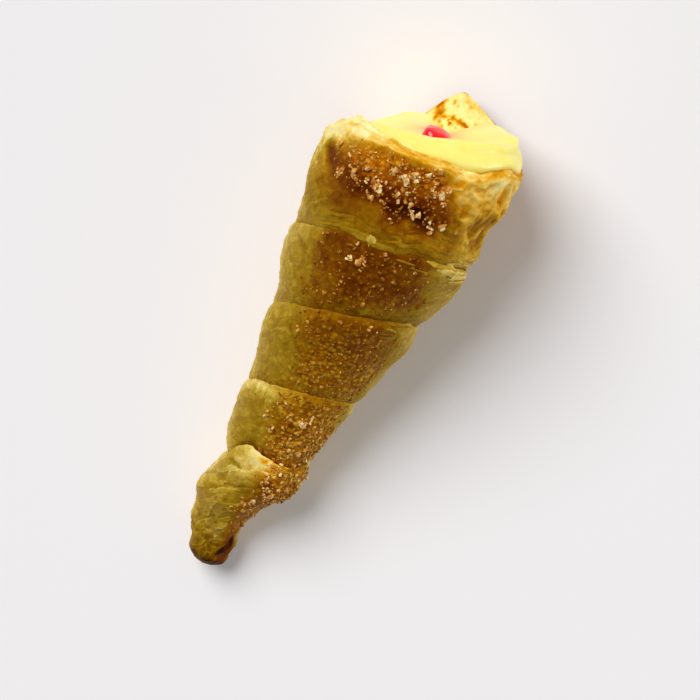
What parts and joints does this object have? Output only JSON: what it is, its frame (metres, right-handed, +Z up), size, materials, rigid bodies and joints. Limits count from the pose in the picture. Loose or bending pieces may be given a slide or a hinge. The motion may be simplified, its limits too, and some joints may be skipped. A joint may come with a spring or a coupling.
{
  "type": "cream horn pastry",
  "caption": "Horn of sugared puff pastry wound in a spiral strip and filled with yellow custard, a piece of red jelly at its mouth, lying on its side",
  "frame": {"origin": "on the surface it lies on, under the middle of the whole", "axes": "+X from the tip to the mouth, +Y to the horn's left as seen from above with the tip nearest, +Z up"},
  "size_m": [0.1466, 0.052, 0.0553],
  "materials": {
    "pastry": "baked puff pastry, flaky and browned",
    "custard": "smooth set custard, wet gloss",
    "jelly": "clear red jelly, wet gloss",
    "sugar": "coarse sugar grains, some caramelised"
  },
  "bodies": {
    "root": {"pastry": "pastry", "custard": "custard", "jelly": "jelly"}
  },
  "joints": []
}
